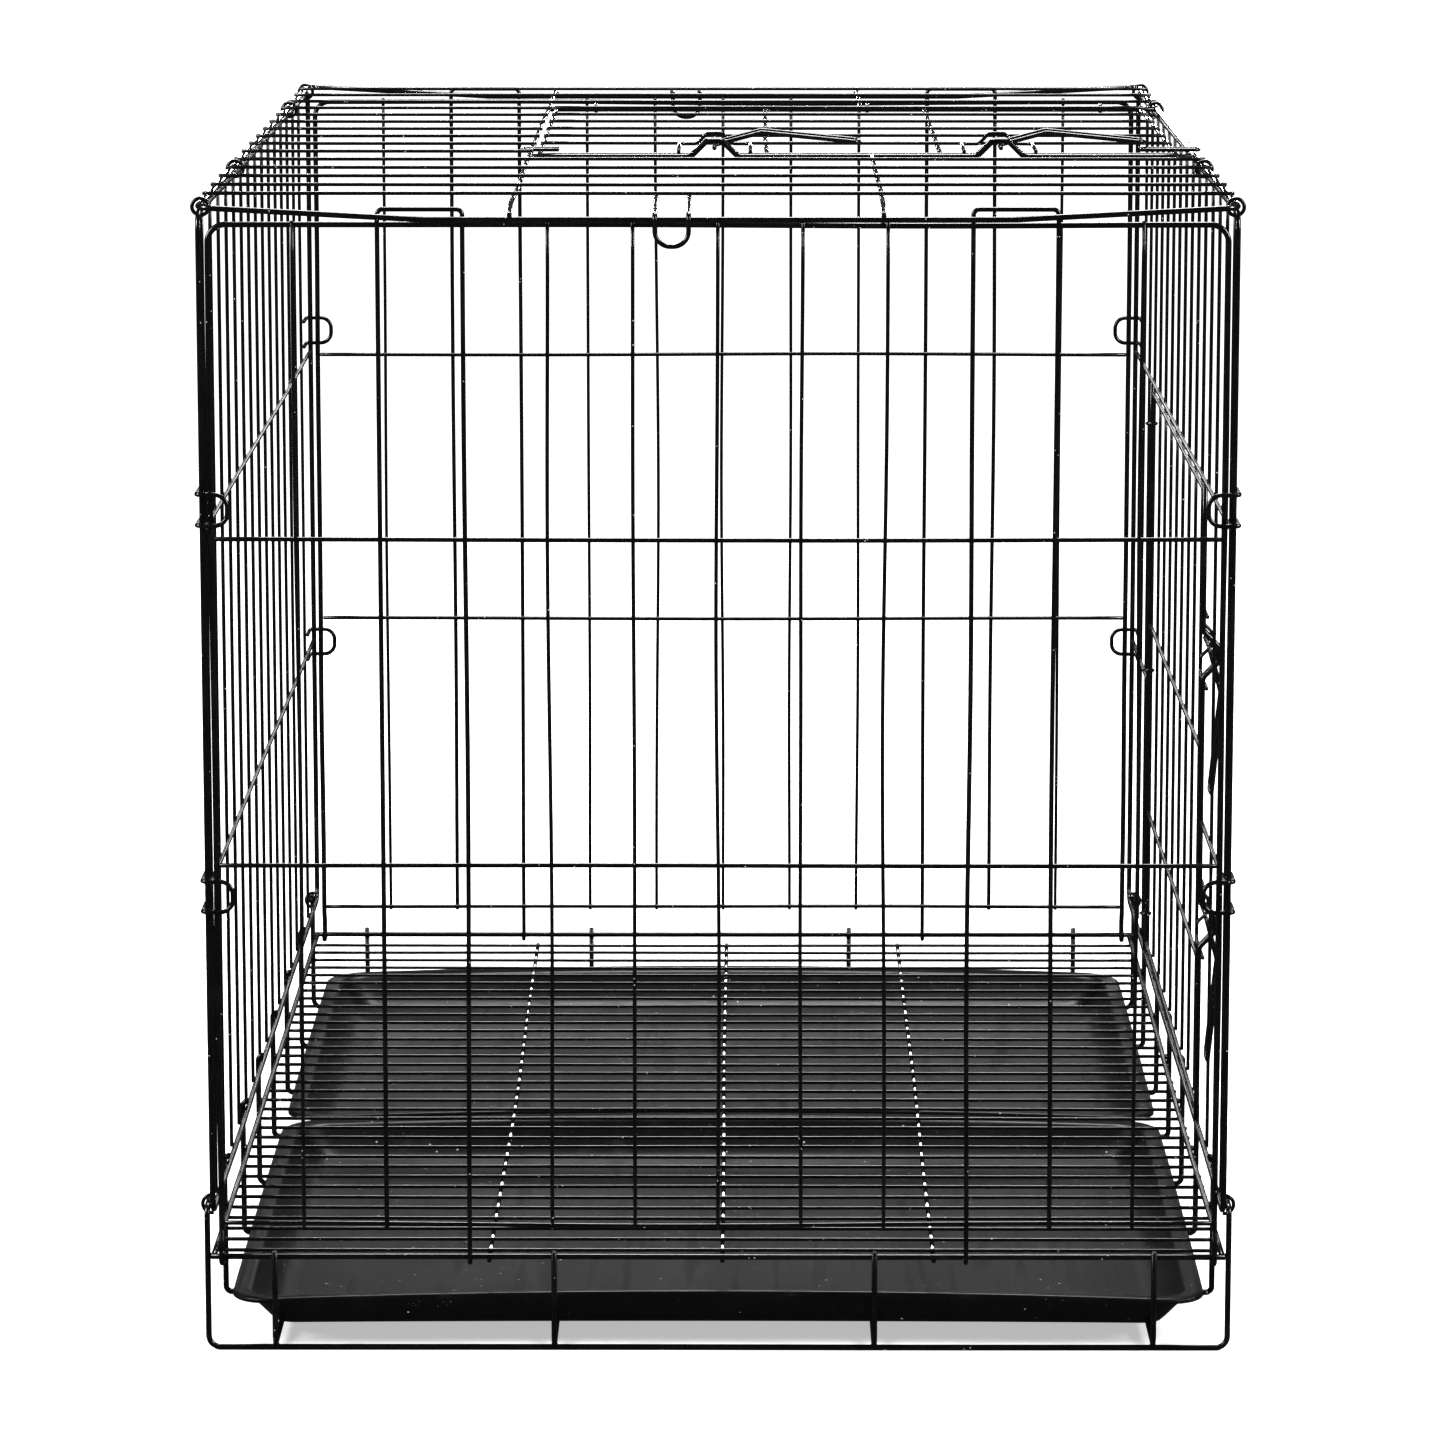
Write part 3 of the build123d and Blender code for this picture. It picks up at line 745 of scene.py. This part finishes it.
def build_tray(node):
    """One tray: the moulding's section swept round its outline, closed above and below."""
    tray = bpy.context.scene.crate_tray
    low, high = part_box(node)
    half_x, half_y = (high.x - low.x) / 2, (high.y - low.y) / 2
    centre = (low + high) / 2
    deep = high.z - low.z
    mesh = WireMesh()
    rings = []
    for inset, height in tray_profile(tray, deep):
        corner = max(tray.corner - inset * CORNER_LOSS, LEAST_CORNER)
        lift = height / deep
        ring = []
        for spot in rounded_outline(half_x - inset, half_y - inset, corner):
            across = 1 - (spot.x / half_x) ** 2
            along = 1 - (spot.y / half_y) ** 2
            edge = max(0.0, abs(spot.y) / half_y - END_ZONE) / (1 - END_ZONE)
            arch = across * edge + SIDE_ARCH * along * (1 - edge)
            crown = tray.crown * (FLOOR_ARCH + (1 - FLOOR_ARCH) * lift) * arch
            ring.append((centre.x + spot.x, centre.y + spot.y,
                         low.z + height + crown - tray.crown * lift * ARCH_CENTRE))
        rings.append(ring)
    sides = len(rings[0])
    points = [point for ring in rings for point in ring]
    faces = tube_faces(len(rings), sides)
    faces.append(tuple(range(sides)))
    faces.append(tuple((len(rings) - 1) * sides + i for i in reversed(range(sides))))
    mesh.add(points, faces)
    piece = mesh.piece(f"{node}_moulding", "tray_plastic")
    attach(piece, node)
    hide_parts(node)


# ------------------------------------------------------------------- operators
class CRATE_OT_base(bpy.types.Operator):
    """Builds the raised wire floor, its foot frames and the rails under the trays"""

    bl_idname = "crate.base"
    bl_label = "Wire floor and feet"

    def execute(self, context):
        build_panel(BASE, Z_AXIS, 11)
        return {"FINISHED"}


class CRATE_OT_sides(bpy.types.Operator):
    """Builds both side panels, with the frame of the side door"""

    bl_idname = "crate.sides"
    bl_label = "Side panels"

    def execute(self, context):
        build_panel(LEFT, X_AXIS, 21)
        build_panel(RIGHT, X_AXIS, 22)
        return {"FINISHED"}


class CRATE_OT_top(bpy.types.Operator):
    """Builds the top panel, with the frame of the top door and the end tabs"""

    bl_idname = "crate.top"
    bl_label = "Top panel"

    def execute(self, context):
        build_panel(TOP, Z_AXIS, 31)
        return {"FINISHED"}


class CRATE_OT_ends(bpy.types.Operator):
    """Builds the two fold-down end panels with their latch loops"""

    bl_idname = "crate.ends"
    bl_label = "End panels"

    def execute(self, context):
        for seed, end in ((41, "near_end"), (42, "far_end")):
            build_panel([f"{end}_{part}" for part in END_PARTS], Y_AXIS, seed)
        return {"FINISHED"}


class CRATE_OT_clips(bpy.types.Operator):
    """Builds the side hooks that hold the end panels, and the clips that join the panels"""

    bl_idname = "crate.clips"
    bl_label = "Hooks and clips"

    def execute(self, context):
        for seed, node in enumerate((*SIDE_HOOKS, *CLIPS), 51):
            build_panel([node], Y_AXIS, seed)
        return {"FINISHED"}


class CRATE_OT_doors(bpy.types.Operator):
    """Builds the top door and the side door with their hinge eyes and bolt guides"""

    bl_idname = "crate.doors"
    bl_label = "Doors"

    def execute(self, context):
        build_panel(TOP_DOOR, Z_AXIS, 61)
        build_panel(SIDE_DOOR, X_AXIS, 62)
        return {"FINISHED"}


class CRATE_OT_bolts(bpy.types.Operator):
    """Builds the four slide bolts"""

    bl_idname = "crate.bolts"
    bl_label = "Slide bolts"

    def execute(self, context):
        for seed, node in enumerate(BOLTS, 71):
            build_panel([node], Z_AXIS, seed, "bolt_wire")
        return {"FINISHED"}


class CRATE_OT_trays(bpy.types.Operator):
    """Builds the two moulded trays"""

    bl_idname = "crate.trays"
    bl_label = "Trays"

    def execute(self, context):
        for node in TRAYS:
            build_tray(node)
        return {"FINISHED"}


def softbox(name, place, target, width, height, power, only=()):
    """One rectangular soft light, for all pieces or only for the named nodes' pieces."""
    light = bpy.data.lights.new(name, "AREA")
    light.shape = "RECTANGLE"
    light.size, light.size_y = width, height
    light.energy = power
    lamp = bpy.data.objects.new(name, light)
    lamp.location = place
    lamp.rotation_euler = (Vector(target) - Vector(place)).to_track_quat("-Z", "Y").to_euler()
    lamp.visible_camera = False
    if only:
        lit = bpy.data.collections.new(name)
        for node in only:
            lit.objects.link(bpy.data.objects[f"{node}_smooth"])
        lamp.light_linking.receiver_collection = lit
    bpy.context.scene.collection.objects.link(lamp)


class CRATE_OT_stage(bpy.types.Operator):
    """Sets up the camera, the soft lights and the pale floor"""

    bl_idname = "crate.stage"
    bl_label = "Camera, lights and floor"

    def execute(self, context):
        scene, stage = context.scene, context.scene.crate_stage
        near_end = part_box("near_end_border")[0]
        camera = bpy.data.cameras.new("camera")
        camera.lens = stage.lens
        camera.clip_end = 60
        view = bpy.data.objects.new("camera", camera)
        view.location = (stage.aside, near_end.y - stage.distance, stage.height)
        view.rotation_euler = (math.pi / 2 - stage.tilt, 0, stage.turn)
        scene.collection.objects.link(view)
        scene.camera = view

        softbox("top_softbox", (0.1, 0.7, 2.6), (0, 0.1, 0), 1.3, 0.9, 85)
        softbox("left_softbox", (-2.6, -1.2, 1.9), (0, 0, 0.4), 0.5, 1.4, 80)
        softbox("right_softbox", (2.6, -1.2, 1.9), (0, 0, 0.4), 0.5, 1.4, 80)
        softbox("back_strip", (0, 3.6, 1.0), (0, 0, 0.75), 2.6, 0.26, 6)
        softbox("edge_strip", (0, 3.6, 0.95), (0, 0, 0.75), 2.6, 0.34, 90, EDGE_LIT)
        studio = Shader(bpy.data.worlds.new("white_studio"), "Background")
        seen = studio.add("ShaderNodeLightPath", {}, {}, "Is Camera Ray")
        strength = seen * (1 - stage.fill) + stage.fill
        scene.world = studio.finish(Color=(1, 1, 1), Strength=strength)
        scene.view_settings.view_transform = "Standard"
        scene.view_settings.look = "Medium High Contrast"

        half, low = 30.0, CAD_BOX[0][2]
        mesh = bpy.data.meshes.new("studio_floor")
        corners = [(-half, -half, low), (half, -half, low), (half, half, low), (-half, half, low)]
        mesh.from_pydata(corners, [], [(0, 1, 2, 3)])
        mesh.materials.append(material("studio_floor"))
        floor = bpy.data.objects.new("studio_floor", mesh)
        scene.collection.objects.link(floor)
        floor.visible_glossy = False
        floor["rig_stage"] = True
        return {"FINISHED"}


PIECES = (CRATE_OT_base, CRATE_OT_sides, CRATE_OT_top, CRATE_OT_ends, CRATE_OT_clips,
          CRATE_OT_doors, CRATE_OT_bolts, CRATE_OT_trays, CRATE_OT_stage)


class CRATE_PT_panel(bpy.types.Panel):
    """Lists the crate's pieces and settings"""

    bl_idname = "CRATE_PT_panel"
    bl_label = "Dog Crate"
    bl_space_type = "VIEW_3D"
    bl_region_type = "UI"
    bl_category = "Dog Crate"

    def draw(self, context):
        for piece in PIECES:
            self.layout.operator(piece.bl_idname)
        for group in (context.scene.crate_wire, context.scene.crate_tray, context.scene.crate_stage):
            column = self.layout.column()
            for name in group.bl_rna.properties.keys():
                if name not in ("rna_type", "name"):
                    column.prop(group, name)


SETTINGS = {"crate_wire": CrateWireSettings, "crate_tray": CrateTraySettings,
            "crate_stage": CrateStageSettings}


def register():
    """Registers the settings, operators and panel."""
    for name, group in SETTINGS.items():
        bpy.utils.register_class(group)
        setattr(bpy.types.Scene, name, bpy.props.PointerProperty(type=group))
    for item in (*PIECES, CRATE_PT_panel):
        bpy.utils.register_class(item)


def unregister():
    """Takes them away again."""
    for item in reversed((*PIECES, CRATE_PT_panel)):
        bpy.utils.unregister_class(item)
    for name, group in SETTINGS.items():
        delattr(bpy.types.Scene, name)
        bpy.utils.unregister_class(group)


def main():
    """Builds the whole crate and its studio."""
    register()
    for piece in PIECES:
        area, name = piece.bl_idname.split(".")
        getattr(getattr(bpy.ops, area), name)()
    boxes = {"cad": CAD_BOX, "visual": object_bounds()}
    ({name: [list(map(float, corner)) for corner in box]
               for name, box in boxes.items()})


if __name__ == "__main__":
    main()
